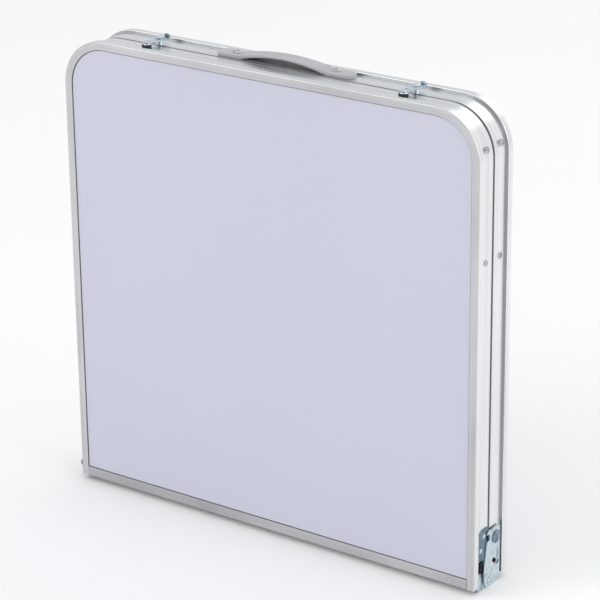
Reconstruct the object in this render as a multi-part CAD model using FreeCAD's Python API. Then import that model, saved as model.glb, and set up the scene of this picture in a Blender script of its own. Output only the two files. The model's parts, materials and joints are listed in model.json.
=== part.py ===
import FreeCAD, Part
import math
import os
from FreeCAD import Vector

# A suitcase-style folding table, shut and standing on its fold edge.
# Millimetres. X is the width, the front half faces -Y, the rear half faces +Y, Z is up.
# The origin is under the middle of the table, on the surface that it stands on.

# ---- driving dimensions ----
WIDTH = 606.0            # over the rims, along X
HALF_HEIGHT = 600.0      # one half, from fold edge to free edge
HALF_DEPTH = 36.6        # one half, from table surface to seam
SEAM = 1.4               # gap between the two shut halves
AXIS_Z = 7.5             # height of the fold axis
BUTT_GAP = 0.3           # each fold edge stands this far off the axis
CORNER_R = 62.0          # outer bend of the frame at the free corners
RIM_PROUD = 3.5          # the rim stands this far out of the side wall
RIM_DEPTH = 10.0         # depth of the rim from the table surface
WALL = 1.5               # side wall thickness
BORDER = 10.5            # width of the metal border round the table surface
RAIL_BORDER = 12.5       # the same along the fold rail
LIP = 1.4                # thickness of the border lip
BOARD = 6.0              # height of the groove that holds the board
SHADOW_GAP = 1.0         # bare core showing between border and surface sheet
SEAM_LIP = 6.0           # how far the lip at the seam reaches in

LEG_R = 12.5             # outer leg tube
LEG_BORE = 11.4
INNER_R = 11.0           # telescoping leg tube
INNER_BORE = 9.8
LEG_AXIS_IN = 15.8       # leg axis, measured from the seam
LEG_PIVOT_Z = 552.0      # leg pivot above the fold axis
BRACE_DROP = 137.0       # brace anchor below the leg pivot
BRACE_ON_LEG = 190.0     # where the brace meets the leg, from the pivot
CROSSBAR_ON_LEG = 240.0  # where the crossbar meets the legs
OUTER_END = 335.0        # lower end of the outer tube, from the pivot
FOOT_END = 366.0         # lower end of the foot, from the pivot
LANE = {"front": 275.5, "rear": 246.0}   # X of the leg axis: the rear pair nests inside the front

# ---- derived places ----
HALF_W = WIDTH / 2
WALL_OUT = HALF_W - RIM_PROUD            # outer face of the side wall
WALL_IN = WALL_OUT - WALL
BOTTOM = AXIS_Z + BUTT_GAP               # fold edge of the frames
TOP = BOTTOM + HALF_HEIGHT
TOP_WALL = TOP - RIM_PROUD               # the recessed wall along the free edge
SEAM_Y = SEAM / 2                        # the rear half's seam face; the front half's is -SEAM_Y
FACE_Y = SEAM_Y + HALF_DEPTH
PIVOT_Z = BOTTOM + LEG_PIVOT_Z
BRACE_SPAN = math.hypot(BRACE_DROP, BRACE_ON_LEG)
RAIL_LINK = (BRACE_SPAN + BRACE_ON_LEG - BRACE_DROP) / 2
LEG_LINK = (BRACE_SPAN - BRACE_ON_LEG + BRACE_DROP) / 2

os.makedirs("parts", exist_ok=True)


# ---- helpers ----
def box(x0, x1, y0, y1, z0, z1):
    """A box between two corners, given in any order."""
    low = Vector(min(x0, x1), min(y0, y1), min(z0, z1))
    return Part.makeBox(abs(x1 - x0), abs(y1 - y0), abs(z1 - z0), low)


def rod(axis, start, length, radius):
    """A cylinder from start along one of the axes x, y or z."""
    direction = {"x": Vector(1, 0, 0), "y": Vector(0, 1, 0), "z": Vector(0, 0, 1)}[axis]
    return Part.makeCylinder(radius, length, Vector(*start), direction)


def rod_x(x0, x1, y, z, radius):
    return rod("x", (min(x0, x1), y, z), abs(x1 - x0), radius)


def rod_z(x, y, z0, z1, radius):
    return rod("z", (x, y, min(z0, z1)), abs(z1 - z0), radius)


def dome(base, normal, radius, height):
    """A rivet head: a low rim with a spherical cap on it."""
    rim = 0.3 * height
    rise = height - rim
    ball_r = (radius ** 2 + rise ** 2) / (2 * rise)
    centre = base + normal * (height - ball_r)
    cap = Part.makeCylinder(radius, height, base, normal)
    return cap.common(Part.makeSphere(ball_r, centre))


def fused(shapes):
    whole = shapes[0].multiFuse(shapes[1:]) if len(shapes) > 1 else shapes[0]
    return whole.removeSplitter()


def biggest(shape):
    return max(shape.Solids, key=lambda solid: solid.Volume)


def mirror_x(shape):
    return shape.mirror(Vector(0, 0, 0), Vector(1, 0, 0))


def mirror_y(shape):
    return shape.mirror(Vector(0, 0, 0), Vector(0, 1, 0))


def both_sides(shape):
    """The shape and its mirror image across the middle of the width, as separate solids."""
    return Part.makeCompound([shape, mirror_x(shape)])


def rounded_wire(corners, place):
    """A closed wire through (a, b, radius) corners; place(a, b) gives the point in space."""
    count = len(corners)
    cuts = []
    for i, (a, b, radius) in enumerate(corners):
        here = Vector(a, b, 0)
        before = Vector(*corners[i - 1][:2], 0) - here
        after = Vector(*corners[(i + 1) % count][:2], 0) - here
        before.normalize()
        after.normalize()
        half = before.getAngle(after) / 2
        back = radius / math.tan(half)
        middle = before + after
        middle.normalize()
        bow = here + middle * (radius / math.sin(half) - radius)
        cuts.append((here + before * back, bow, here + after * back, radius))
    edges = []
    for i, (start, bow, end, radius) in enumerate(cuts):
        if radius > 0:
            edges.append(Part.Arc(*[place(p.x, p.y) for p in (start, bow, end)]).toShape())
        nxt = cuts[(i + 1) % count][0]
        if (nxt - end).Length > 1e-6:
            edges.append(Part.LineSegment(place(end.x, end.y), place(nxt.x, nxt.y)).toShape())
    return Part.Wire(edges)


def plate_yz(corners, x0, x1):
    """A flat plate across X, outlined by (y, z above the fold axis, radius) corners."""
    wire = rounded_wire(corners, lambda y, z: Vector(x0, y, AXIS_Z + z))
    return Part.Face(wire).extrude(Vector(x1 - x0, 0, 0))


def write(name, shape):
    shape.exportStep("parts/%s.step" % name)
    facts = (name, len(shape.Solids), shape.Volume, shape.isValid())
    print("%-26s %2d solids %10.0f mm3 valid %s" % facts)


# ---- the aluminium frame of one half, drawn for the front ----
def frame_section(place):
    """The extrusion's section: u runs in from the rim, v runs in from the table surface."""
    groove = LIP + BOARD
    return rounded_wire([
        (0, 0, 1.6), (BORDER, 0, 0.6), (BORDER, LIP, 0), (1.6, LIP, 0), (1.6, groove, 0),
        (BORDER, groove, 0), (BORDER, groove + LIP, 0), (RIM_PROUD + WALL, groove + LIP, 0),
        (RIM_PROUD + WALL, HALF_DEPTH - 1.7, 0), (SEAM_LIP, HALF_DEPTH - 1.7, 0), (SEAM_LIP, HALF_DEPTH, 0),
        (RIM_PROUD, HALF_DEPTH, 1.2), (RIM_PROUD, RIM_DEPTH, 0.5), (0, RIM_DEPTH, 0.9)], place)


def u_frame():
    """One profile bent into a U: two side legs, two corners and the free edge."""
    bend_z = TOP - CORNER_R
    bend_x = HALF_W - CORNER_R
    side = Part.Face(frame_section(lambda u, v: Vector(HALF_W - u, v - FACE_Y, BOTTOM)))
    leg = side.extrude(Vector(0, 0, bend_z - BOTTOM))
    corner_face = Part.Face(frame_section(lambda u, v: Vector(HALF_W - u, v - FACE_Y, bend_z)))
    corner = corner_face.revolve(Vector(bend_x, 0, bend_z), Vector(0, -1, 0), 90)
    free_face = Part.Face(frame_section(lambda u, v: Vector(-bend_x, v - FACE_Y, TOP - u)))
    free_edge = free_face.extrude(Vector(2 * bend_x, 0, 0))
    return fused([leg, corner, free_edge, mirror_x(leg), mirror_x(corner)])


def fold_rail():
    """The straight profile that closes the U along the fold edge."""
    end = HALF_W - BORDER - 0.3
    groove = LIP + BOARD
    wire = rounded_wire([
        (0, 0, 1.0), (RAIL_BORDER, 0, 0.6), (RAIL_BORDER, LIP, 0), (1.6, LIP, 0), (1.6, groove, 0),
        (RAIL_BORDER, groove, 0), (RAIL_BORDER, groove + LIP, 0), (1.6, groove + LIP, 0),
        (1.6, HALF_DEPTH - 1.7, 0), (SEAM_LIP, HALF_DEPTH - 1.7, 0), (SEAM_LIP, HALF_DEPTH, 0),
        (0, HALF_DEPTH, 0.8)], lambda u, v: Vector(-end, v - FACE_Y, BOTTOM + u))
    return Part.Face(wire).extrude(Vector(2 * end, 0, 0))


def sheet(inset, bottom_inset, depth0, depth1):
    """A panel that follows the frame's outline, set in from it, between two depths."""
    half = HALF_W - inset
    radius = CORNER_R - inset
    wire = rounded_wire([
        (-half, BOTTOM + bottom_inset, 0), (half, BOTTOM + bottom_inset, 0),
        (half, TOP - inset, radius), (-half, TOP - inset, radius)],
        lambda x, z: Vector(x, depth0 - FACE_Y, z))
    return Part.Face(wire).extrude(Vector(0, depth1 - depth0, 0))


def board():
    return sheet(2.2, 2.2, LIP + 0.9, LIP + BOARD - 0.1)


def surface():
    return sheet(BORDER + SHADOW_GAP, RAIL_BORDER + SHADOW_GAP, LIP + 0.2, LIP + 0.9)


def stiffener():
    """A hat channel glued under the board, behind the crossbar."""
    under = LIP + BOARD - 0.1 - FACE_Y
    mid_z = PIVOT_Z - CROSSBAR_ON_LEG
    reach = 225.0
    hat = box(-reach, reach, under, under + 5.4, mid_z - 14, mid_z + 14)
    hat = hat.fuse(box(-reach, reach, under, under + 1.2, mid_z - 26, mid_z + 26))
    hollow = box(-reach - 1, reach + 1, under - 1, under + 4.2, mid_z - 12.8, mid_z + 12.8)
    return hat.cut(hollow).removeSplitter()


def corner_bracket():
    """An angle that ties the fold rail to the side leg."""
    y0, y1 = 12 - FACE_Y, 32 - FACE_Y
    up = box(WALL_IN - 1.5, WALL_IN, y0, y1, BOTTOM + 1.6, BOTTOM + 42)
    along = box(258, WALL_IN - 1.5, y0, y1, BOTTOM + 1.6, BOTTOM + 3.1)
    return up.fuse(along).removeSplitter()


BAR_R = 7.5


def bar_clip(x):
    """A plastic saddle on the stiffener that holds the folded crossbar."""
    base = LIP + BOARD - 0.1 + 5.4 - FACE_Y
    mid_z = PIVOT_Z - CROSSBAR_ON_LEG
    block = box(x - 10, x + 10, base, -LEG_AXIS_IN + 4, mid_z - 11.5, mid_z + 11.5)
    hole = rod_x(x - 11, x + 11, -LEG_AXIS_IN, mid_z, BAR_R + 0.4)
    mouth = box(x - 11, x + 11, -LEG_AXIS_IN, 0, mid_z - BAR_R - 0.4, mid_z + BAR_R + 0.4)
    return block.cut(hole).cut(mouth).removeSplitter()


# ---- the wall rivets that carry legs and braces ----
WALL_HEAD_R = 4.2
WALL_HEAD = 1.8          # height of the outer rivet head
PIN_R = 4.0
BRACE_PIN_R = 3.0
RUNNING = 0.06           # radial clearance of every pin that turns
LINK_T = 2.0
RAIL_LINK_OFF = 17.8     # inner face of the rail link, outward from the leg axis
LEG_LINK_OFF = 14.2      # inner face of the leg link, outward from the leg axis


def blind(rivet, y, z):
    """Sink the round hollow of a blind rivet into its outer head, with the mandrel's end in it."""
    top = WALL_OUT + WALL_HEAD
    hollow = rod_x(top - 0.9, top + 1, y, z, 1.7).cut(rod_x(top - 1, top - 0.3, y, z, 1.0))
    return rivet.cut(hollow)


def wall_rivets(half):
    """Leg pivot and brace anchor of the right side, each with its head on the wall.

    The pivot passes where the frame starts to bend, so its head has a seat cut to the bend.
    """
    lane = LANE[half]
    y = -LEG_AXIS_IN
    pivot = rod_x(lane - LEG_R - 0.4, WALL_OUT, y, PIVOT_Z, PIN_R)
    inner_head = rod_x(lane - LEG_R - 2.2, lane - LEG_R - 0.4, y, PIVOT_Z, PIN_R + 2)
    outer_head = dome(Vector(WALL_OUT, y, PIVOT_Z), Vector(1, 0, 0), WALL_HEAD_R, WALL_HEAD)
    seat = rod_x(WALL_OUT - 3, WALL_OUT, y, PIVOT_Z, WALL_HEAD_R)
    anchor_z = PIVOT_Z - BRACE_DROP
    link = lane + RAIL_LINK_OFF
    anchor = rod_x(link - 0.4, WALL_OUT, y, anchor_z, BRACE_PIN_R)
    anchor_in = rod_x(link - 1.6, link - 0.4, y, anchor_z, BRACE_PIN_R + 1.5)
    anchor_out = dome(Vector(WALL_OUT, y, anchor_z), Vector(1, 0, 0), WALL_HEAD_R, WALL_HEAD)
    return [blind(fused([pivot, inner_head, seat, outer_head]), y, PIVOT_Z),
            blind(fused([anchor, anchor_in, anchor_out]), y, anchor_z)]


def spacers(half):
    """Sleeves that hold the leg and the brace off the side wall."""
    lane = LANE[half]
    y = -LEG_AXIS_IN
    anchor_z = PIVOT_Z - BRACE_DROP
    leg = rod_x(lane + LEG_R + 0.4, WALL_IN, y, PIVOT_Z, 8)
    brace = rod_x(lane + RAIL_LINK_OFF + LINK_T + 0.3, WALL_IN, y, anchor_z, 5.5)
    return [leg.cut(rod_x(lane, WALL_OUT, y, PIVOT_Z, PIN_R)),
            brace.cut(rod_x(lane, WALL_OUT, y, anchor_z, BRACE_PIN_R))]


def drill_walls(frame):
    """Rivet holes through both side walls."""
    for z, radius in ((PIVOT_Z, PIN_R), (PIVOT_Z - BRACE_DROP, BRACE_PIN_R)):
        frame = frame.cut(both_sides(rod_x(WALL_IN - 10, WALL_OUT + 1, -LEG_AXIS_IN, z, radius)))
    return frame


# ---- legs, drawn folded, hanging down from the pivot ----
def leg_tube(lane):
    y = -LEG_AXIS_IN
    tube = rod_z(lane, y, PIVOT_Z - OUTER_END, PIVOT_Z, LEG_R)
    top = Part.makeSphere(LEG_R, Vector(lane, y, PIVOT_Z)).common(box(
        lane - 20, lane + 20, y - 20, y + 20, PIVOT_Z, PIVOT_Z + 20))
    bore = rod_z(lane, y, PIVOT_Z - OUTER_END - 1, PIVOT_Z - PIN_R - 3, LEG_BORE)
    cross = rod_x(lane - 20, lane + 20, y, PIVOT_Z, PIN_R + RUNNING)
    return fused([tube, top]).cut(bore).cut(cross).removeSplitter()


def crossbar(lane):
    y, z = -LEG_AXIS_IN, PIVOT_Z - CROSSBAR_ON_LEG
    bar = rod_x(-lane, lane, y, z, BAR_R).cut(rod_x(-lane - 1, lane + 1, y, z, BAR_R - 1.2))
    for x in (-lane, lane):
        bar = bar.cut(rod_z(x, y, z - 30, z + 30, LEG_R))
    return bar


def leg_stud(lane):
    """The stud on the outer side of the leg that carries the short brace link."""
    y, z = -LEG_AXIS_IN, PIVOT_Z - BRACE_ON_LEG
    shoulder = rod_x(lane + LEG_R - 2, lane + LEG_LINK_OFF - 0.3, y, z, 5.0)
    shaft = rod_x(lane + LEG_R - 2, lane + LEG_LINK_OFF + LINK_T + 0.3, y, z, BRACE_PIN_R)
    head = rod_x(lane + LEG_LINK_OFF + LINK_T + 0.3, lane + LEG_LINK_OFF + LINK_T + 1.3, y, z, 4.5)
    return fused([shoulder, shaft, head]).cut(rod_z(lane, y, z - 20, z + 20, LEG_R))


COLLAR_R = 13.9
FOOT_R = 13.6
FOOT_TALL = 16.0


def collar(lane):
    """A twist-lock collar on the end of the outer tube."""
    y = -LEG_AXIS_IN
    low, high, end = PIVOT_Z - OUTER_END - 12, PIVOT_Z - OUTER_END + 20, PIVOT_Z - OUTER_END
    ring = rod_z(lane, y, low, high, COLLAR_R)
    ring = ring.cut(rod_z(lane, y, low - 1, high + 1, INNER_R + 0.4))
    ring = ring.cut(rod_z(lane, y, end - 0.4, high + 1, LEG_R + RUNNING))
    grips = 12
    for i in range(grips):
        turn = 2 * math.pi * i / grips
        groove_x = lane + (COLLAR_R + 1.0) * math.cos(turn)
        groove_y = y + (COLLAR_R + 1.0) * math.sin(turn)
        ring = ring.cut(rod_z(groove_x, groove_y, low + 4, high - 4, 1.5))
    return ring


def inner_tube(lane):
    y = -LEG_AXIS_IN
    low, high = PIVOT_Z - FOOT_END + 4, PIVOT_Z - 15
    return rod_z(lane, y, low, high, INNER_R).cut(rod_z(lane, y, low - 1, high + 1, INNER_BORE))


def foot(lane):
    """A plastic cup over the end of the inner tube."""
    y = -LEG_AXIS_IN
    low, high = PIVOT_Z - FOOT_END, PIVOT_Z - FOOT_END + FOOT_TALL
    cup = rod_z(lane, y, low, high, FOOT_R)
    sole = [edge for edge in cup.Edges if abs(edge.BoundBox.ZMax - low) < 0.01]
    cup = cup.makeFillet(2.5, sole)
    return cup.cut(rod_z(lane, y, low + 4, high + 1, INNER_R))


def link(lane, offset, top_z, length, pin_side):
    """A flat brace link hanging from top_z; pin_side is where its knuckle head shows."""
    y, reach = -LEG_AXIS_IN, 7.0
    x0 = lane + offset
    bar = box(x0, x0 + LINK_T, y - reach, y + reach, top_z - length, top_z)
    for z in (top_z, top_z - length):
        bar = bar.fuse(rod_x(x0, x0 + LINK_T, y, z, reach))
    bar = bar.cut(rod_x(x0 - 1, x0 + LINK_T + 1, y, top_z, BRACE_PIN_R + RUNNING))
    face = x0 + LINK_T if pin_side > 0 else x0
    head = rod_x(face, face + pin_side * 0.7, y, top_z - length, 4.5)
    return fused([bar, head])


# ---- hinges, drawn for the right side ----
FRONT_LEAF = (WALL_OUT, WALL_OUT + 1.4)          # X of the inner leaf, on the front half
REAR_LEAF = (WALL_OUT + 1.7, WALL_OUT + 3.1)     # X of the outer leaf, on the rear half
HINGE_PIN_R = 3.0


def hinge_pin_hole(extra):
    return rod_x(WALL_OUT - 1, REAR_LEAF[1] + 1, 0, AXIS_Z, HINGE_PIN_R + extra)


def leaf_windows():
    """Two openings through the front leaf and the wall behind it."""
    low = [(-24.0, 17.0, 1.0), (-14.0, 15.5, 1.0), (-14.0, 33.0, 1.0), (-24.0, 33.0, 1.0)]
    high = [(-6.8, 55.4, 0.5), (-2.8, 55.4, 0.5), (-2.8, 62.6, 0.5), (-6.8, 62.6, 0.5)]
    return [plate_yz(corners, WALL_IN - 3, FRONT_LEAF[1] + 1) for corners in (low, high)]


def leaf_slot():
    """A slanted slot through the rear leaf and the wall behind it."""
    slot = box(WALL_IN - 3, REAR_LEAF[1] + 1, 4.5, 19.5, AXIS_Z + 19, AXIS_Z + 24.5)
    slot.rotate(Vector(0, 12, AXIS_Z + 21.7), Vector(1, 0, 0), -33)
    return slot


def front_leaf(flange_y, flange_outline):
    """The leaf riveted to the front half, with a lobe under the axis and an outward flange.

    flange_outline is a list of (distance out of the wall, height above the fold axis).
    """
    leaf = plate_yz([
        (-26.6, -AXIS_Z, 7.0), (10.0, -AXIS_Z, 6.0), (10.0, 8.0, 6.0), (-1.5, 10.5, 2.0),
        (-1.5, 73.0, 3.0), (-26.6, 73.0, 17.0)], *FRONT_LEAF)
    points = [Vector(FRONT_LEAF[0] + out, flange_y, AXIS_Z + z) for out, z in flange_outline]
    flange = Part.Face(Part.makePolygon(points + points[:1])).extrude(Vector(0, 1.4, 0))
    holes = [rod_x(WALL_OUT - 1, FRONT_LEAF[1] + 1, *place, LEAF_SHANK_R) for place in LEAF_RIVETS]
    return fused([leaf, flange]).cut(holes + leaf_windows()).cut(hinge_pin_hole(RUNNING))


def rear_leaf():
    """The outer leaf on the rear half: a hook at the top, a slot, an embossed ring and a joggled pad."""
    leaf = plate_yz([
        (-9.0, -AXIS_Z, 6.0), (22.3, -AXIS_Z, 6.0), (22.3, 67.5, 4.0), (-6.8, 67.5, 3.5),
        (-6.8, 63.0, 0.6), (-1.5, 63.0, 0.6), (-1.5, 55.0, 0.6), (-7.2, 54.0, 2.0),
        (-11.3, 31.0, 20.0), (-15.5, 15.0, 6.0), (-13.5, 3.0, 6.0)], *REAR_LEAF)
    ring = rod_x(REAR_LEAF[1], REAR_LEAF[1] + 0.7, -0.5, AXIS_Z + 12.6, 6.9)
    ring = ring.cut(rod_x(REAR_LEAF[1] - 1, REAR_LEAF[1] + 1, -0.5, AXIS_Z + 12.6, 5.5))
    pad = box(WALL_OUT, REAR_LEAF[0], 1.2, 20.0, AXIS_Z + 30, AXIS_Z + 64)
    hole = rod_x(WALL_OUT - 1, REAR_LEAF[1] + 1, *DOME_RIVET, DOME_SHANK_R)
    return fused([leaf.cut(leaf_slot()), ring, pad]).cut(hole).cut(hinge_pin_hole(0))


def hinge_pin():
    shaft = rod_x(FRONT_LEAF[0] + 0.1, REAR_LEAF[1], 0, AXIS_Z, HINGE_PIN_R)
    head = dome(Vector(REAR_LEAF[1], 0, AXIS_Z), Vector(1, 0, 0), 5.0, 2.0)
    slot = box(REAR_LEAF[1] + 1.0, REAR_LEAF[1] + 3, -6, 6, AXIS_Z - 0.6, AXIS_Z + 0.6)
    cross = box(REAR_LEAF[1] + 1.0, REAR_LEAF[1] + 3, -0.6, 0.6, AXIS_Z - 6, AXIS_Z + 6)
    return fused([shaft, head]).cut(slot).cut(cross)


DOME_RIVET = (13.4, AXIS_Z + 54.0)               # Y and Z of the big rivet
LEAF_RIVETS = ((-19.5, AXIS_Z + 47.0), (-12.5, AXIS_Z + 64.0))
DOME_SHANK_R = 3.5
LEAF_SHANK_R = 1.6


def dome_rivet():
    shank = rod_x(WALL_IN - 1.0, REAR_LEAF[1], *DOME_RIVET, DOME_SHANK_R)
    return fused([shank, dome(Vector(REAR_LEAF[1], *DOME_RIVET), Vector(1, 0, 0), 8.5, 3.4)])


def leaf_rivet(place):
    """One of the small rivets that fix the front leaf to the wall."""
    shank = rod_x(WALL_IN - 0.8, FRONT_LEAF[1], *place, LEAF_SHANK_R)
    return fused([shank, dome(Vector(FRONT_LEAF[1], *place), Vector(1, 0, 0), 3.0, 1.2)])


# ---- latches on the free edge; both are the same way round ----
LATCH_X = (-187.0, 187.0)
LATCH_Y = -16.8          # rivet on the front half
STUD = (1.0, 25.5)       # stud on the rear half, from the latch rivet
STRIP_Z = TOP_WALL + 5.2
STRIP_T = 1.8
STUD_R = 2.2
LATCH_PIN_R = 2.0


def latch(x):
    """A flat strip with a hook notch open towards -X and an upturned finger tab."""
    def place(a, b):
        return Vector(x + a, LATCH_Y + b, STRIP_Z)
    wire = rounded_wire([
        (-6.0, -6.0, 5.5), (6.0, -6.0, 5.5), (8.6, 14.0, 6.0), (12.2, 31.5, 2.5), (2.6, 33.5, 2.5),
        (-4.6, 28.6, 1.4), (-5.0, 21.9, 1.2), (-3.2, 12.0, 6.0)], place)
    strip = Part.Face(wire).extrude(Vector(0, 0, STRIP_T))
    stud_x, stud_y = x + STUD[0], LATCH_Y + STUD[1]
    low, high = STRIP_Z - 1, STRIP_Z + STRIP_T + 1
    reach = math.hypot(*STUD)
    room = STUD_R + 0.4
    seat = rod_z(stud_x, stud_y, low, high, room)
    ring = rod_z(x, LATCH_Y, low, high, reach + room).cut(rod_z(x, LATCH_Y, low, high, reach - room))
    mouth = ring.common(box(x - 14, stud_x, LATCH_Y + 14, LATCH_Y + 34, low, high))
    strip = strip.cut(seat).cut(mouth)
    tab = box(x + 2.9, x + 12.0, LATCH_Y + 31.2, LATCH_Y + 33.0, STRIP_Z, STRIP_Z + 6.5)
    tab.rotate(Vector(x + 7, LATCH_Y + 32, STRIP_Z), Vector(0, 0, 1), -12)
    tab = tab.makeFillet(1.6, [e for e in tab.Edges if e.BoundBox.ZMin > STRIP_Z + 6 and e.Length < 3])
    hole = rod_z(x, LATCH_Y, low, high, LATCH_PIN_R + RUNNING)
    return fused([strip, tab]).cut(hole)


def latch_washer(x):
    washer = rod_z(x, LATCH_Y, TOP_WALL, STRIP_Z - 0.3, 6.0)
    return washer.cut(rod_z(x, LATCH_Y, TOP_WALL - 1, STRIP_Z, LATCH_PIN_R))


def latch_rivet(x):
    shaft = rod_z(x, LATCH_Y, TOP_WALL - WALL, STRIP_Z + STRIP_T + 0.3, LATCH_PIN_R)
    head = dome(Vector(x, LATCH_Y, STRIP_Z + STRIP_T + 0.3), Vector(0, 0, 1), 4.6, 1.8)
    return fused([shaft, head])


def latch_stud(x):
    sx, sy = x + STUD[0], LATCH_Y + STUD[1]
    neck = rod_z(sx, sy, TOP_WALL - WALL, STRIP_Z + STRIP_T + 0.5, STUD_R)
    collar_ring = rod_z(sx, sy, TOP_WALL, STRIP_Z - 0.6, 4.2)
    head = dome(Vector(sx, sy, STRIP_Z + STRIP_T + 0.5), Vector(0, 0, 1), 4.6, 2.4)
    return fused([neck, collar_ring, head])


# ---- carrying handle on the rear half's free edge ----
HANDLE_Y = 14.5
HANDLE_W = 20.0
PAD_TOP = TOP_WALL + 5.0
SCREW_X = 72.0
SCREW_R = 2.5
SOLE = 0.9               # thickness of the flat strip that joins the pads under the grip


def handle():
    """A strap that bows up between two screwed pads, over a thin sole."""
    y0 = HANDLE_Y - HANDLE_W / 2
    grip, peak, tip = 66.0, TOP_WALL + 12.0, 100.0
    def at(x, z):
        return Vector(x, y0, z)
    edges = [
        Part.LineSegment(at(-grip, PAD_TOP), at(-grip, TOP_WALL)).toShape(),
        Part.LineSegment(at(-grip, TOP_WALL), at(-grip + 4, TOP_WALL)).toShape(),
        Part.Arc(at(-grip + 4, TOP_WALL), at(0, peak - 3.6), at(grip - 4, TOP_WALL)).toShape(),
        Part.LineSegment(at(grip - 4, TOP_WALL), at(grip, TOP_WALL)).toShape(),
        Part.LineSegment(at(grip, TOP_WALL), at(grip, PAD_TOP)).toShape(),
        Part.Arc(at(grip, PAD_TOP), at(0, peak), at(-grip, PAD_TOP)).toShape()]
    strap = Part.Face(Part.Wire(edges)).extrude(Vector(0, HANDLE_W, 0))
    pad = rod_z(tip - HANDLE_W / 2, HANDLE_Y, TOP_WALL, PAD_TOP, HANDLE_W / 2)
    pad = pad.fuse(box(grip - 1, tip - HANDLE_W / 2, y0, y0 + HANDLE_W, TOP_WALL, PAD_TOP))
    sole = box(-grip, grip, y0 + 1.5, y0 + HANDLE_W - 1.5, TOP_WALL, TOP_WALL + SOLE)
    sole = sole.cut(rod_z(0, HANDLE_Y - 3, TOP_WALL - 1, TOP_WALL + 2, 1.6))
    whole = fused([strap, pad, mirror_x(pad), sole])
    for x in (-SCREW_X, SCREW_X):
        whole = whole.cut(rod_z(x, HANDLE_Y, TOP_WALL - 1, PAD_TOP + 1, SCREW_R))
    return whole


def handle_screw(x):
    shaft = rod_z(x, HANDLE_Y, TOP_WALL - WALL, PAD_TOP, SCREW_R)
    head = dome(Vector(x, HANDLE_Y, PAD_TOP), Vector(0, 0, 1), 6.0, 3.2)
    return fused([shaft, head])


def top_hole(x, y, radius):
    """A hole through the recessed wall along the free edge."""
    return rod_z(x, y, TOP_WALL - WALL - 1, TOP_WALL + 1, radius)


# ---- write the shared shapes of both halves ----
frame = drill_walls(u_frame())
pin_holes = [top_hole(x, LATCH_Y, LATCH_PIN_R) for x in LATCH_X]
stud_holes = [top_hole(x + STUD[0], LATCH_Y + STUD[1], STUD_R) for x in LATCH_X]
screw_holes = [top_hole(x, HANDLE_Y, SCREW_R) for x in (-SCREW_X, SCREW_X)]
leaf_holes = [both_sides(rod_x(WALL_IN - 1, WALL_OUT + 1, *place, LEAF_SHANK_R)) for place in LEAF_RIVETS]
dome_holes = [both_sides(rod_x(WALL_IN - 1, WALL_OUT + 1, *DOME_RIVET, DOME_SHANK_R))]
windows = [both_sides(window) for window in leaf_windows()]
write("front_frame", frame.cut(pin_holes + leaf_holes + windows))
write("rear_frame", mirror_y(frame).cut(stud_holes + screw_holes + dome_holes + [both_sides(leaf_slot())]))
write("front_corner_brackets", both_sides(corner_bracket().cut(leaf_windows())))
write("rear_corner_brackets", both_sides(mirror_y(corner_bracket()).cut(leaf_slot())))

for name, shape in (("fold_rail", fold_rail()), ("board", board()), ("surface", surface()),
                    ("stiffener", stiffener()), ("bar_clips", both_sides(bar_clip(120.0)))):
    write("front_" + name, shape)
    write("rear_" + name, mirror_y(shape))

for half in ("front", "rear"):
    turned = (lambda shape: shape) if half == "front" else mirror_y
    lane = LANE[half]
    rivets = [both_sides(shape.cut(frame)) for shape in wall_rivets(half)]
    write(half + "_wall_rivets", turned(Part.makeCompound(rivets)))
    sleeves = [both_sides(biggest(shape.cut(frame))) for shape in spacers(half)]
    write(half + "_spacers", turned(Part.makeCompound(sleeves)))
    write(half + "_crossbar", turned(crossbar(lane)))
    write(half + "_leg_studs", turned(both_sides(leg_stud(lane))))
    brace_top = PIVOT_Z - BRACE_DROP
    stud_top = PIVOT_Z - BRACE_ON_LEG
    pieces = (("leg_tube", leg_tube(lane)), ("collar", collar(lane)), ("inner_tube", inner_tube(lane)),
              ("foot", foot(lane)), ("rail_link", link(lane, RAIL_LINK_OFF, brace_top, RAIL_LINK, 1)),
              ("leg_link", link(lane, LEG_LINK_OFF, stud_top, LEG_LINK, -1)))
    for name, shape in pieces:
        write("%s_right_%s" % (half, name), turned(shape))
        write("%s_left_%s" % (half, name), turned(mirror_x(shape)))

# ---- write the hinges, latches and handle ----
SIDE_FLANGE = [(0.0, 34.0), (2.6, 35.0), (2.6, 53.0), (0.0, 56.0)]
LOW_TAB = [(0.0, -6.5), (7.0, -6.5), (15.0, 8.5), (14.4, 13.0), (11.5, 15.0), (0.0, 13.0)]
write("right_hinge_front_leaf", front_leaf(-26.6, SIDE_FLANGE))
write("left_hinge_front_leaf", mirror_x(front_leaf(-25.6, LOW_TAB)))
write("right_hinge_rear_leaf", rear_leaf())
write("left_hinge_rear_leaf", mirror_x(rear_leaf()))
write("hinge_pins", both_sides(hinge_pin()))
write("hinge_dome_rivets", both_sides(dome_rivet()))
write("hinge_leaf_rivets", Part.makeCompound([both_sides(leaf_rivet(place)) for place in LEAF_RIVETS]))
for side, x in (("left", LATCH_X[0]), ("right", LATCH_X[1])):
    write(side + "_latch", latch(x))
write("latch_washers", Part.makeCompound([latch_washer(x) for x in LATCH_X]))
write("latch_rivets", Part.makeCompound([latch_rivet(x) for x in LATCH_X]))
write("latch_studs", Part.makeCompound([latch_stud(x) for x in LATCH_X]))
write("carry_handle", handle())
write("handle_screws", Part.makeCompound([handle_screw(x) for x in (-SCREW_X, SCREW_X)]))
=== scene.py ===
# %% [markdown]
# # A suitcase-style folding table
# The table stands shut on its fold edge: two framed half-tops face to face, with the legs
# folded away between them. The metal frame, hinges, latches and legs arrive finished from the
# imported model, so this lesson spends its time on finishes, on the strap handle and on light.

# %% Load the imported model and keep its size
import json
import math

import bpy
import bmesh
from mathutils import Matrix, Vector


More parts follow.
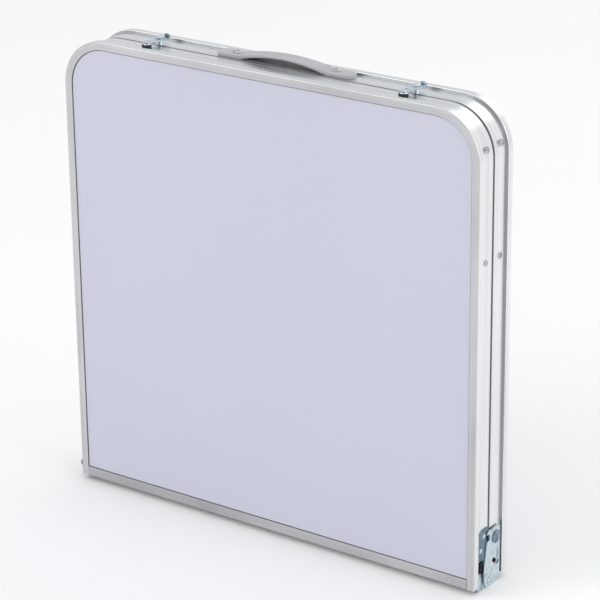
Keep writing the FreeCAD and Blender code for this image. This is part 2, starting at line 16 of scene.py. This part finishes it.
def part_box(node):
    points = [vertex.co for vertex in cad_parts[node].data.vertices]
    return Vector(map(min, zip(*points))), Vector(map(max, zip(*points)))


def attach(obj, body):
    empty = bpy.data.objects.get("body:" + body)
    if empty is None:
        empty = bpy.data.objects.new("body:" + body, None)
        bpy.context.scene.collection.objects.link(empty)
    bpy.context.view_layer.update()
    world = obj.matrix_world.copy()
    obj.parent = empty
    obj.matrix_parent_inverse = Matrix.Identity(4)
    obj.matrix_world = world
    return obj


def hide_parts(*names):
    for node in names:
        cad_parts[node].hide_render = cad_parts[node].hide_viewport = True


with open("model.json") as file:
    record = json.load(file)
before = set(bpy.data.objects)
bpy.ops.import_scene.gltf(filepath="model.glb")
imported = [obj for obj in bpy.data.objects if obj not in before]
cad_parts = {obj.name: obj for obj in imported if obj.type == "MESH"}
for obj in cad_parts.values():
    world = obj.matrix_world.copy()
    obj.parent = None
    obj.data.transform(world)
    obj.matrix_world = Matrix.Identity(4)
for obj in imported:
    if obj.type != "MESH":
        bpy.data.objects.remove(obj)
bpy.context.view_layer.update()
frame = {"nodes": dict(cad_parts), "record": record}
nodes = frame["nodes"]
MM = 0.001

# %% [markdown]
# ## Camera
# The table is seen from the right and a little above, through a long lens. The camera is given
# by its place, its line of sight and a small roll, so that each can be changed by itself.

# %% Camera
LENS_MM = 159.5
CAMERA_PLACE = Vector((1.7738, -2.4803, 1.5081))
CAMERA_LOOKS = Vector((-0.53590, 0.76061, -0.36645))
CAMERA_ROLL = math.radians(-0.69)


def make_camera():
    """Place the camera and roll it a little about its own line of sight."""
    data = bpy.data.cameras.new("camera")
    data.lens = LENS_MM
    data.sensor_width = 36.0
    data.clip_end = 50.0
    camera = bpy.data.objects.new("camera", data)
    bpy.context.scene.collection.objects.link(camera)
    turn = CAMERA_LOOKS.to_track_quat("-Z", "Y").to_matrix().to_4x4()
    roll = Matrix.Rotation(CAMERA_ROLL, 4, "Z")
    camera.matrix_world = Matrix.Translation(CAMERA_PLACE) @ turn @ roll
    bpy.context.scene.camera = camera


make_camera()
print("camera stands at", tuple(round(value, 3) for value in CAMERA_PLACE))

# %% [markdown]
# ## A small kit for finishes
# Every finish is a node tree on the Principled shader. `Finish` keeps the wiring short: each
# method adds one node and returns the socket to use next. Patterns read Object coordinates in
# metres, so a grain of 400 per metre is 2.5 mm wide on every piece.

# %% Finish helper
class Finish:
    """A material under construction."""

    def __init__(self, name):
        self.material = bpy.data.materials.new(name)
        self.material.use_nodes = True
        self.tree = self.material.node_tree
        self.shader = self.tree.nodes["Principled BSDF"]
        self.place = self.add("ShaderNodeTexCoord").outputs["Object"]

    def add(self, kind, **settings):
        node = self.tree.nodes.new(kind)
        for key, value in settings.items():
            setattr(node, key, value)
        return node

    def plug(self, value, socket):
        """Link a socket, or set a plain value."""
        if isinstance(value, bpy.types.NodeSocket):
            self.tree.links.new(value, socket)
        else:
            socket.default_value = value

    def math(self, operation, a, b=0.0):
        node = self.add("ShaderNodeMath", operation=operation)
        self.plug(a, node.inputs[0])
        self.plug(b, node.inputs[1])
        return node.outputs[0]

    def times(self, value, factor):
        return self.math("MULTIPLY", value, factor)

    def split(self, vector):
        node = self.add("ShaderNodeSeparateXYZ")
        self.plug(vector, node.inputs[0])
        return node.outputs

    def join(self, x, y, z):
        node = self.add("ShaderNodeCombineXYZ")
        for value, socket in zip((x, y, z), node.inputs):
            self.plug(value, socket)
        return node.outputs[0]

    def stretch(self, scale):
        node = self.add("ShaderNodeMapping")
        self.plug(self.place, node.inputs["Vector"])
        node.inputs["Scale"].default_value = scale
        return node.outputs[0]

    def noise(self, scale, detail=3.0, vector=None, rough=0.5):
        node = self.add("ShaderNodeTexNoise")
        self.plug(vector or self.place, node.inputs["Vector"])
        node.inputs["Scale"].default_value = scale
        node.inputs["Detail"].default_value = detail
        node.inputs["Roughness"].default_value = rough
        return node.outputs["Fac"]

    def ramp(self, value, low, high, from_low=0.3, from_high=0.7):
        node = self.add("ShaderNodeMapRange")
        self.plug(value, node.inputs["Value"])
        limits = {"From Min": from_low, "From Max": from_high, "To Min": low, "To Max": high}
        for name, number in limits.items():
            self.plug(number, node.inputs[name])
        return node.outputs["Result"]

    def blend(self, factor, a, b):
        node = self.add("ShaderNodeMix", data_type="RGBA")
        self.plug(factor, node.inputs["Factor"])
        self.plug((*a, 1.0) if isinstance(a, tuple) else a, node.inputs["A"])
        self.plug((*b, 1.0) if isinstance(b, tuple) else b, node.inputs["B"])
        return node.outputs["Result"]

    def bump(self, height, strength, distance):
        node = self.add("ShaderNodeBump")
        node.inputs["Strength"].default_value = strength
        node.inputs["Distance"].default_value = distance
        self.plug(height, node.inputs["Height"])
        return node.outputs["Normal"]

    def finish(self, **inputs):
        for name, value in inputs.items():
            self.plug(value, self.shader.inputs[name.replace("_", " ")])
        return self.material


print("finish kit ready")

# %% [markdown]
# ## Extruded aluminium
# The edge profile is pushed through a die, so its fine lines run along its length, round the
# corners too. The lines are noise that changes quickly across the profile and hardly at all
# along it, and a coarser noise of the same kind gives broad bands. Across the profile means two
# numbers: the depth from the seam, and the distance in from the outline, which a
# rounded-rectangle formula gives at the bends as well. The depth also says where the border is,
# duller and painted darker as shade, and where painted shade darkens the seam edge and the rim corner.

# %% Extruded aluminium
frame_low, frame_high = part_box("front_frame")
HALF_W = frame_high.x
TOP_Z = frame_high.z
FACE_Y = -frame_low.y
BEND_R = 62 * MM
RIM_CORNER = FACE_Y - 10 * MM
BORDER_FROM = FACE_Y - 2 * MM
BORDER_FULL = FACE_Y - 0.4 * MM
SEAM_DARK = 1.5 * MM
SEAM_CLEAR = 2.7 * MM
LINES_PER_M = 900.0
BANDS_PER_M = 210.0
SHADOWED = (0.13, 0.14, 0.155)
BAND_GREY = (0.36, 0.38, 0.41)
POLISHED = (0.93, 0.935, 0.94)


def outline_distance(finish):
    """Distance in from the outline of the U-bent frame."""
    x, y, z = finish.split(finish.place)
    past_x = finish.math("SUBTRACT", finish.math("ABSOLUTE", x), HALF_W - BEND_R)
    past_z = finish.math("SUBTRACT", z, TOP_Z - BEND_R)
    over_x = finish.math("MAXIMUM", past_x, 0.0)
    over_z = finish.math("MAXIMUM", past_z, 0.0)
    squares = finish.math("ADD", finish.times(over_x, over_x), finish.times(over_z, over_z))
    reach = finish.math("SQRT", squares)
    return finish.math("SUBTRACT", BEND_R, reach), x, y, z


def extruded_aluminium(name, wall, border, rail=False):
    """Bright walls and a duller border round the table face, whose darker colour is painted shade."""
    finish = Finish(name)
    inwards, x, y, z = outline_distance(finish)
    across = z if rail else inwards
    along = x if rail else z

    def lengthwise(per_metre, along_per_metre):
        return finish.join(finish.times(across, per_metre), finish.times(y, per_metre),
                           finish.times(along, along_per_metre))

    drawn = finish.noise(1.0, 4.0, lengthwise(LINES_PER_M, 3.0), 0.65)
    broad = finish.noise(1.0, 2.0, lengthwise(BANDS_PER_M, 1.2))
    clouds = finish.noise(7.0, 2.0)
    depth = finish.math("ABSOLUTE", y)
    on_face = finish.ramp(depth, 0.0, 1.0, BORDER_FROM, BORDER_FULL)
    # The border is the same aluminium as the walls: its darker colour is painted shade, its higher
    # roughness is real.
    base = finish.blend(on_face, wall, border)
    streaked = finish.blend(finish.ramp(drawn, 0.0, 0.20), base, tuple(c * 0.55 for c in border))
    banded = finish.blend(finish.ramp(broad, 0.0, 0.26, 0.48, 0.66), streaked, BAND_GREY)
    clouded = finish.blend(finish.ramp(clouds, 0.0, 0.25), banded, POLISHED)
    # Painted shade: the colour turns dark along the seam between the halves and in the corner beside the
    # rim.
    seam_shade = finish.ramp(depth, 0.95, 0.0, SEAM_DARK, SEAM_CLEAR)
    rim_shade_ramp = finish.ramp(depth, 0.0, 0.6, RIM_CORNER - 2.2 * MM, RIM_CORNER - 0.2 * MM)
    rim_corner_shade = finish.times(rim_shade_ramp, finish.math("LESS_THAN", depth, RIM_CORNER + 0.1 * MM))
    tone = finish.blend(finish.math("MAXIMUM", seam_shade, rim_corner_shade), clouded, SHADOWED)
    lined = finish.ramp(drawn, -0.05, 0.07)
    gloss = finish.math("ADD", lined, finish.ramp(on_face, 0.27, 0.42, 0.0, 1.0))
    normal = finish.bump(drawn, 0.12, 0.00004)
    return finish.finish(Base_Color=tone, Metallic=0.95, Roughness=gloss, Normal=normal)


frame_metal = extruded_aluminium(
    "drawn_aluminium_frame", wall=(0.90, 0.91, 0.925), border=(0.56, 0.565, 0.58))
# Same aluminium as the frame: the rail's darker colours are painted shade for the table's bottom edge.
shaded_rail_metal = extruded_aluminium(
    "drawn_aluminium_rail", wall=(0.82, 0.83, 0.845), border=(0.46, 0.462, 0.475), rail=True)
print("aluminium lines run along the profile; bend radius", BEND_R)

# %% [markdown]
# ## Table surface
# The boards wear a smooth pale laminate, a lavender grey with a very fine satin tooth. It is
# nearly even, so the finish is one colour with slight clouds, a faint speckle and a soft sheen.

# %% Table surface
def laminate():
    finish = Finish("lavender_laminate")
    clouds = finish.noise(2.2, 3.0)
    speckle = finish.noise(900.0, 2.0)
    base = finish.blend(finish.ramp(clouds, 0.0, 1.0), (0.560, 0.570, 0.675), (0.590, 0.597, 0.700))
    tone = finish.blend(finish.ramp(speckle, 0.0, 0.10), base, (0.52, 0.53, 0.64))
    tooth = finish.noise(1600.0, 2.0)
    normal = finish.bump(tooth, 0.12, 0.00004)
    gloss = finish.ramp(clouds, 0.42, 0.48)
    return finish.finish(Base_Color=tone, Roughness=gloss, Normal=normal)


def fibreboard():
    finish = Finish("fibreboard_core")
    fibres = finish.noise(700.0, 5.0, finish.stretch((1.0, 1.0, 0.4)))
    # The core's dark tone is partly its own colour and partly painted shade: in the thin gap round the
    # laminate it stands for the shadow under the lip.
    tone = finish.blend(finish.ramp(fibres, 0.0, 1.0), (0.13, 0.13, 0.145), (0.24, 0.235, 0.24))
    return finish.finish(Base_Color=tone, Roughness=0.85, Normal=finish.bump(fibres, 0.5, 0.0002))


surface_finish = laminate()
core_finish = fibreboard()

# %% [markdown]
# ## Zinc plate, rivets and tubes
# Hinges and latches are pressed steel with a bright, slightly blue zinc coat. Zinc shows soft
# crystals, a little uneven gloss and streaks of deep blue. On the front hinge leaves and the
# dome rivets a painted dark-blue reflection takes over above a given height, broken by painted
# highlight streaks. For the left leaf that height is below the floor, so the whole leaf carries
# the painted reflection. Rivets are plainer, and the tubes are drawn along Z.

# %% Zinc, rivets and tubes
DEEP_BLUE = (0.055, 0.125, 0.18)


def zinc_plate(name, painted_reflection_from=None):
    """Zinc; given a height, a painted dark-blue reflection with painted highlight streaks above it."""
    finish = Finish(name)
    crystals = finish.add("ShaderNodeTexVoronoi", feature="F1")
    finish.plug(finish.place, crystals.inputs["Vector"])
    crystals.inputs["Scale"].default_value = 260.0
    patch = finish.split(crystals.outputs["Color"])[0]
    clouds = finish.noise(60.0, 4.0)
    streaks = finish.noise(1.0, 3.0, finish.stretch((90.0, 90.0, 28.0)))
    tone = finish.blend(patch, (0.50, 0.59, 0.66), (0.64, 0.72, 0.77))
    tone = finish.blend(finish.ramp(clouds, 0.0, 0.5), tone, (0.78, 0.83, 0.86))
    tone = finish.blend(finish.ramp(streaks, 0.0, 0.75, 0.58, 0.68), tone, DEEP_BLUE)
    # Painted reflection: above the height the colour turns deep blue, broken by upright streaks of
    # painted highlight.
    if painted_reflection_from is not None:
        height = finish.split(finish.place)[2]
        dark_reflection = finish.ramp(height, 0.0, 0.85, painted_reflection_from, painted_reflection_from + 6 * MM)
        highlight_streaks = finish.noise(1.0, 2.0, finish.stretch((60.0, 420.0, 14.0)))
        highlight_break = finish.ramp(highlight_streaks, 1.0, 0.35, 0.5, 0.7)
        tone = finish.blend(finish.times(dark_reflection, highlight_break), tone, DEEP_BLUE)
    gloss = finish.math("ADD", finish.ramp(clouds, 0.14, 0.26), finish.times(patch, 0.05))
    return finish.finish(Base_Color=tone, Metallic=1.0, Roughness=gloss,
                         Normal=finish.bump(clouds, 0.15, 0.0001))


def rivet_metal():
    finish = Finish("plated_rivets")
    turned = finish.noise(320.0, 3.0)
    tone = finish.blend(finish.ramp(turned, 0.0, 1.0), (0.34, 0.36, 0.39), (0.66, 0.68, 0.70))
    return finish.finish(Base_Color=tone, Metallic=1.0, Roughness=finish.ramp(turned, 0.16, 0.28),
                         Normal=finish.bump(turned, 0.2, 0.00005))


def tube_aluminium():
    finish = Finish("drawn_aluminium_tube")
    drawn = finish.noise(1.0, 4.0, finish.stretch((LINES_PER_M, LINES_PER_M, 4.0)), 0.6)
    tone = finish.blend(finish.ramp(drawn, 0.0, 1.0), (0.72, 0.73, 0.75), (0.84, 0.85, 0.86))
    return finish.finish(Base_Color=tone, Metallic=0.95, Roughness=finish.ramp(drawn, 0.27, 0.38),
                         Normal=finish.bump(drawn, 0.3, 0.00006))


zinc = zinc_plate("bright_blue_zinc")
# Both carry the painted dark-blue reflection; on the left leaf it covers the whole piece.
painted_reflection_zinc = zinc_plate("zinc_painted_reflection", painted_reflection_from=24 * MM)
all_painted_reflection_zinc = zinc_plate("zinc_all_painted_reflection", painted_reflection_from=-10 * MM)
rivets = rivet_metal()
tubes = tube_aluminium()
print("three zinc finishes, rivets and tubes are ready")

# %% [markdown]
# ## Plastics
# The handle is a grey moulding with a fine sparkle-eroded grain, a dark sheet under it is painted
# shade, and feet, collars and clips are black. The grain is a fine noise in bump that also lightens
# the colour on its high spots, and a slow noise makes the colour and gloss drift a little.

# %% Plastics
def moulded_plastic(name, low, high, grain, roughness):
    finish = Finish(name)
    fine = finish.noise(grain, 3.0)
    flow = finish.noise(40.0, 3.0)
    tone = finish.blend(finish.ramp(flow, 0.0, 1.0), low, high)
    tone = finish.blend(finish.ramp(fine, 0.0, 0.25), tone, tuple(min(1.0, c * 1.25) for c in high))
    gloss = finish.ramp(flow, roughness - 0.04, roughness + 0.05)
    return finish.finish(Base_Color=tone, Roughness=gloss, Normal=finish.bump(fine, 0.35, 0.0001))


handle_plastic = moulded_plastic(
    "grey_handle_plastic", low=(0.41, 0.415, 0.43), high=(0.48, 0.485, 0.50),
    grain=1500.0, roughness=0.44)
# A dark sheet on the metal under the strap: painted shade where the strap's shadow falls.
shade_sheet_plastic = moulded_plastic(
    "dark_grey_shade_sheet", low=(0.085, 0.087, 0.094), high=(0.125, 0.127, 0.135), grain=1300.0, roughness=0.5)
black_plastic = moulded_plastic(
    "black_moulding", low=(0.020, 0.020, 0.022), high=(0.038, 0.038, 0.041), grain=1200.0, roughness=0.48)
rubber = moulded_plastic(
    "black_rubber", low=(0.010, 0.010, 0.010), high=(0.022, 0.022, 0.022), grain=900.0, roughness=0.68)
print("four plastics are ready")

# %% [markdown]
# ## Give each imported piece its finish
# The record names one slot per piece, and one finish belongs to each slot. A few pieces are
# named apart: the fold rails, whose lines run across the table and whose darker colour is painted
# shade, and the hinge pieces that carry a painted dark-blue reflection.

# %% Finishes by slot
BY_SLOT = {
    "frame_aluminium": frame_metal, "board_core": core_finish, "table_surface": surface_finish,
    "inner_aluminium": shaded_rail_metal, "leg_aluminium": tubes, "leg_plastic": black_plastic,
    "black_rubber": rubber, "handle_plastic": handle_plastic, "rivet_metal": rivets, "zinc_steel": zinc}
BY_NODE = {
    "front_fold_rail": shaded_rail_metal, "rear_fold_rail": shaded_rail_metal, "hinge_dome_rivets": painted_reflection_zinc,
    "left_hinge_front_leaf": all_painted_reflection_zinc, "right_hinge_front_leaf": painted_reflection_zinc}
for entry in frame["record"]["subparts"]:
    piece = nodes[entry["node"]]
    finish = BY_NODE.get(entry["node"], BY_SLOT[entry["material_slot"]])
    piece.data.materials.clear()
    piece.data.materials.append(finish)
print(len(nodes), "packed pieces have finishes")

# %% [markdown]
# ## The strap handle
# The real handle is one springy moulding: two flat pads, each with a rounded tip and a shallow
# neck, and a strap that bows up between them. It is lofted here: at every station along X the
# same closed section is drawn at that station's width, top and underside, and neighbouring
# sections are joined. The loft follows the imported handle, which stays in the physics,
# hidden.

# %% Handle outline
handle_low, handle_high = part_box("carry_handle")
SEAT_Z = handle_low.z
RISE = handle_high.z - handle_low.z
TIP_X = handle_high.x
HANDLE_Y = (handle_low.y + handle_high.y) / 2
HALF_STRAP = (handle_high.y - handle_low.y) / 2
PAD_THICK = 5.0 * MM
GRIP_X = 66 * MM
UNDER_X = 62 * MM
STRAP_THICK = 3.6 * MM
NECK_LENGTH = 2.0 * MM
NECK_IN = 1.2 * MM
NECK_DOWN = 0.5 * MM
TIP_DOWN = 0.9 * MM
SOFT_EDGE = 1.5 * MM


def bow(x, half_span, height):
    """Height of a circular arc of this span and rise above its chord, at x."""
    radius = (half_span ** 2 + height ** 2) / (2 * height)
    return math.sqrt(max(0.0, radius ** 2 - x ** 2)) - radius + height


def handle_section(x):
    """(half width, underside, top) above the seat at one station."""
    reach = abs(x)
    top = PAD_THICK + (bow(x, GRIP_X, RISE - PAD_THICK) if reach < GRIP_X else 0.0)
    under = bow(x, UNDER_X, RISE - STRAP_THICK) if reach < UNDER_X else 0.0
    neck = math.exp(-((reach - UNDER_X) / NECK_LENGTH) ** 2)
    tip = max(0.0, reach - (TIP_X - HALF_STRAP))
    half = math.sqrt(max(0.0, HALF_STRAP ** 2 - tip ** 2)) - NECK_IN * neck
    drop = NECK_DOWN * neck + TIP_DOWN * (tip / HALF_STRAP) ** 3
    return max(half, 0.4 * MM), under, top - drop


def rounded_section(half, under, top, steps=7):
    """A closed ring of (y, z) round a strap with soft edges."""
    edge = min(SOFT_EDGE, half * 0.6, (top - under) * 0.45)
    ring = []
    corners = ((half - edge, under + edge, -90), (half - edge, top - edge, 0),
               (edge - half, top - edge, 90), (edge - half, under + edge, 180))
    for y, z, start in corners:
        for i in range(steps):
            turn = math.radians(start + 90 * i / (steps - 1))
            ring.append((y + edge * math.cos(turn), z + edge * math.sin(turn)))
    return ring


def make_handle():
    stations = 160
    form = bmesh.new()
    rings = []
    for i in range(stations + 1):
        turn = math.pi * i / stations
        x = -TIP_X * math.cos(turn)
        section = rounded_section(*handle_section(x))
        rings.append([form.verts.new((x, HANDLE_Y + y, SEAT_Z + z)) for y, z in section])
    for before, after in zip(rings, rings[1:]):
        count = len(before)
        for i in range(count):
            j = (i + 1) % count
            form.faces.new((before[i], before[j], after[j], after[i]))
    form.faces.new(rings[0])
    form.faces.new(rings[-1])
    bmesh.ops.recalc_face_normals(form, faces=form.faces)
    for face in form.faces:
        face.smooth = len(face.verts) == 4
    mesh = bpy.data.meshes.new("strap_handle")
    form.to_mesh(mesh)
    form.free()
    handle = bpy.data.objects.new("strap_handle", mesh)
    bpy.context.scene.collection.objects.link(handle)
    mesh.materials.append(handle_plastic)
    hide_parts("carry_handle")
    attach(handle, "rear_half")
    return handle


handle = make_handle()
print("handle has", len(handle.data.polygons), "faces")

# %% [markdown]
# ## A dark sheet of painted shade under the grip
# A thin dark strip joins the two pads, lying on the metal under the strap: painted shade, a dark
# sheet where the strap shades the wall. It has one small hole in the middle. The easy way to a clean
# round hole is a ring of corners that is bridged to the outline, and the same outline is used for the
# top, the underside and the rims between them.

# %% Shade sheet
SHADE_SHEET_THICK = 0.9 * MM
HOLE_R = 1.6 * MM
HOLE_Y = HANDLE_Y - 3 * MM


# Painted shade: the dark sheet stands for the shadow under the strap.
def make_shade_sheet(rounds=24):
    half_x, half_y = GRIP_X - 1 * MM, HALF_STRAP - 1.5 * MM
    hole, rim = [], []
    for i in range(rounds):
        turn = 2 * math.pi * (i + 0.5) / rounds
        c, s = math.cos(turn), math.sin(turn)
        hole.append((HOLE_R * c, HOLE_Y + HOLE_R * s))
        side = max(abs(c), abs(s))
        rim.append((half_x * c / side, HANDLE_Y + half_y * s / side))
    corners, faces = [], []
    for z in (SEAT_Z, SEAT_Z + SHADE_SHEET_THICK):
        corners += [(x, y, z) for x, y in hole] + [(x, y, z) for x, y in rim]
    under, top = 0, 2 * rounds
    for i in range(rounds):
        j = (i + 1) % rounds
        faces.append((top + i, top + rounds + i, top + rounds + j, top + j))
        faces.append((under + j, under + rounds + j, under + rounds + i, under + i))
        faces.append((under + rounds + i, under + rounds + j, top + rounds + j, top + rounds + i))
        faces.append((under + j, under + i, top + i, top + j))
    mesh = bpy.data.meshes.new("handle_shade_sheet")
    mesh.from_pydata(corners, [], faces)
    shade_sheet = bpy.data.objects.new("handle_shade_sheet", mesh)
    bpy.context.scene.collection.objects.link(shade_sheet)
    mesh.materials.append(shade_sheet_plastic)
    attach(shade_sheet, "rear_half")
    return shade_sheet


shade_sheet = make_shade_sheet()
print("sole has", len(shade_sheet.data.polygons), "faces")

# %% [markdown]
# ## Growing a piece with Geometry Nodes
# What repeats is grown from a small node tree. One helper starts a tree with named inputs. The
# other runs it once and keeps the result as a plain mesh, which is what the export can use.

# %% Geometry Nodes helpers
def new_tree(name, inputs):
    """An empty node group with geometry out and the named inputs."""
    tree = bpy.data.node_groups.new(name, "GeometryNodeTree")
    tree.interface.new_socket("Geometry", in_out="INPUT", socket_type="NodeSocketGeometry")
    for label, kind in inputs:
        tree.interface.new_socket(label, in_out="INPUT", socket_type=kind)
    tree.interface.new_socket("Geometry", in_out="OUTPUT", socket_type="NodeSocketGeometry")
    return tree, tree.nodes.new("NodeGroupInput"), tree.nodes.new("NodeGroupOutput")


def grow(name, tree, values):
    """Run a tree on a fresh object and keep the result as a plain mesh at the origin."""
    seed = bpy.data.objects.new(name + "_seed", bpy.data.meshes.new(name + "_seed"))
    bpy.context.scene.collection.objects.link(seed)
    modifier = seed.modifiers.new("grow", "NODES")
    modifier.node_group = tree
    sockets = {item.name: item.identifier for item in tree.interface.items_tree if item.in_out == "INPUT"}
    for label, value in values.items():
        modifier[sockets[label]] = value
    bpy.context.view_layer.update()
    ready = seed.evaluated_get(bpy.context.evaluated_depsgraph_get())
    result = bpy.data.meshes.new_from_object(ready)
    bpy.data.objects.remove(seed)
    result.name = name
    piece = bpy.data.objects.new(name, result)
    bpy.context.scene.collection.objects.link(piece)
    return piece


# %% [markdown]
# ## Ribs on the grip
# Fine ribs run the length of the strap. They repeat across it, so Geometry Nodes lay them: one
# rib is an arc swept with a small round profile, and a row of points across the width carries
# copies of it. The sizes are named inputs of the tree.

# %% Ribs
def rib_tree():
    tree, given, out = new_tree("grip ribs", (
        ("Count", "NodeSocketInt"), ("Spacing", "NodeSocketFloat"), ("Rib Radius", "NodeSocketFloat"),
        ("Start", "NodeSocketVector"), ("Middle", "NodeSocketVector"), ("End", "NodeSocketVector"),
        ("Finish", "NodeSocketMaterial")))
    link = tree.links.new
    arc = tree.nodes.new("GeometryNodeCurveArc")
    arc.mode = "POINTS"
    arc.inputs["Resolution"].default_value = 48
    for label in ("Start", "Middle", "End"):
        link(given.outputs[label], arc.inputs[label])
    profile = tree.nodes.new("GeometryNodeCurvePrimitiveCircle")
    profile.inputs["Resolution"].default_value = 8
    link(given.outputs["Rib Radius"], profile.inputs["Radius"])
    sweep = tree.nodes.new("GeometryNodeCurveToMesh")
    sweep.inputs["Fill Caps"].default_value = True
    link(arc.outputs["Curve"], sweep.inputs["Curve"])
    link(profile.outputs["Curve"], sweep.inputs["Profile Curve"])
    step = tree.nodes.new("ShaderNodeCombineXYZ")
    link(given.outputs["Spacing"], step.inputs["Y"])
    half = tree.nodes.new("ShaderNodeMath")
    half.operation = "SUBTRACT"
    link(given.outputs["Count"], half.inputs[0])
    half.inputs[1].default_value = 1.0
    back = tree.nodes.new("ShaderNodeVectorMath")
    back.operation = "SCALE"
    link(step.outputs[0], back.inputs[0])
    shift = tree.nodes.new("ShaderNodeMath")
    shift.operation = "MULTIPLY"
    link(half.outputs[0], shift.inputs[0])
    shift.inputs[1].default_value = -0.5
    link(shift.outputs[0], back.inputs["Scale"])
    row = tree.nodes.new("GeometryNodeMeshLine")
    link(given.outputs["Count"], row.inputs["Count"])
    link(back.outputs[0], row.inputs["Start Location"])
    link(step.outputs[0], row.inputs["Offset"])
    copies = tree.nodes.new("GeometryNodeInstanceOnPoints")
    link(row.outputs["Mesh"], copies.inputs["Points"])
    link(sweep.outputs["Mesh"], copies.inputs["Instance"])
    real = tree.nodes.new("GeometryNodeRealizeInstances")
    link(copies.outputs["Instances"], real.inputs["Geometry"])
    paint = tree.nodes.new("GeometryNodeSetMaterial")
    link(real.outputs["Geometry"], paint.inputs["Geometry"])
    link(given.outputs["Finish"], paint.inputs["Material"])
    link(paint.outputs["Geometry"], out.inputs["Geometry"])
    return tree


RIB_RADIUS = 0.65 * MM
RIB_REACH = 60 * MM
RIB_SINK = 0.25 * MM
RIB_COUNT = 5
RIB_SPACING = 3.2 * MM


def rib_point(x):
    """A point on the middle rib, sunk a little into the top of the strap."""
    return Vector((x, HANDLE_Y, SEAT_Z + handle_section(x)[2] - RIB_SINK))


ribs = grow("grip_ribs", rib_tree(), {
    "Count": RIB_COUNT, "Spacing": RIB_SPACING, "Rib Radius": RIB_RADIUS, "Start": rib_point(-RIB_REACH),
    "Middle": rib_point(0.0), "End": rib_point(RIB_REACH), "Finish": handle_plastic})
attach(ribs, "rear_half")
print("ribs have", len(ribs.data.polygons), "faces")

# %% [markdown]
# ## Floor
# The table stands on a plain matt floor, pale and nearly even, and much wider than the view. It
# is only there to carry the shadow, and is no part of the table.

# %% Floor
FLOOR_REACH = 8.0


def make_floor():
    finish = Finish("pale_floor")
    cloud = finish.noise(1.5, 2.0)
    tone = finish.blend(finish.ramp(cloud, 0.0, 1.0), (0.94, 0.94, 0.94), (0.95, 0.95, 0.95))
    floor_finish = finish.finish(Base_Color=tone, Roughness=0.8)
    reach = FLOOR_REACH
    corners = [(-reach, -reach, 0), (reach, -reach, 0), (reach, reach, 0), (-reach, reach, 0)]
    mesh = bpy.data.meshes.new("floor")
    mesh.from_pydata(corners, [], [(0, 1, 2, 3)])
    floor = bpy.data.objects.new("floor", mesh)
    bpy.context.scene.collection.objects.link(floor)
    mesh.materials.append(floor_finish)


make_floor()
print("floor is", 2 * FLOOR_REACH, "m wide")

# %% [markdown]
# ## Soft panels and sky
# Light comes from three big round panels: a strong one high on the left for the table face, a
# lower one on the right that the bright side walls mirror, and a weak one behind. A white sky
# fills the rest. It is a little greyer towards the back left, which is the part that the level
# walls along the top mirror, so they keep some tone.

# %% Soft panels and sky
def soft_panel(name, place, aim, size, power):
    data = bpy.data.lights.new(name, "AREA")
    data.shape = "DISK"
    data.size = size
    data.energy = power
    panel = bpy.data.objects.new(name, data)
    bpy.context.scene.collection.objects.link(panel)
    turn = (Vector(aim) - Vector(place)).to_track_quat("-Z", "Y").to_matrix().to_4x4()
    panel.matrix_world = Matrix.Translation(place) @ turn


MIDDLE = (0.0, 0.0, 0.3)
DULL_SIDE = Vector((-0.62, 0.72, 0.30))
DULL_TONE = (0.80, 0.82, 0.84, 1.0)
SKY_STRENGTH = 0.92
soft_panel("key", (-2.2, -3.0, 3.2), MIDDLE, 2.4, 34.0)
soft_panel("side", (3.4, -0.2, 1.6), MIDDLE, 2.0, 18.0)
soft_panel("back", (0.5, 3.0, 2.6), MIDDLE, 2.2, 9.0)


def make_sky():
    """White all round, easing to a pale grey towards DULL_SIDE."""
    world = bpy.data.worlds.new("studio")
    world.use_nodes = True
    sky = world.node_tree
    aim = sky.nodes.new("ShaderNodeTexCoord")
    toward = sky.nodes.new("ShaderNodeVectorMath")
    toward.operation = "DOT_PRODUCT"
    toward.inputs[1].default_value = DULL_SIDE.normalized()
    ease = sky.nodes.new("ShaderNodeMapRange")
    ease.interpolation_type = "SMOOTHSTEP"
    ease.inputs["From Min"].default_value = 0.55
    ease.inputs["From Max"].default_value = 0.95
    mix = sky.nodes.new("ShaderNodeMix")
    mix.data_type = "RGBA"
    mix.inputs["A"].default_value = (1.0, 1.0, 1.0, 1.0)
    mix.inputs["B"].default_value = DULL_TONE
    background = sky.nodes["Background"]
    background.inputs["Strength"].default_value = SKY_STRENGTH
    sky.links.new(aim.outputs["Generated"], toward.inputs[0])
    sky.links.new(toward.outputs["Value"], ease.inputs["Value"])
    sky.links.new(ease.outputs["Result"], mix.inputs["Factor"])
    sky.links.new(mix.outputs["Result"], background.inputs["Color"])
    return world


bpy.context.scene.world = make_sky()
bpy.context.scene.view_settings.view_transform = "Standard"
print("three panels, and a sky of strength", SKY_STRENGTH)
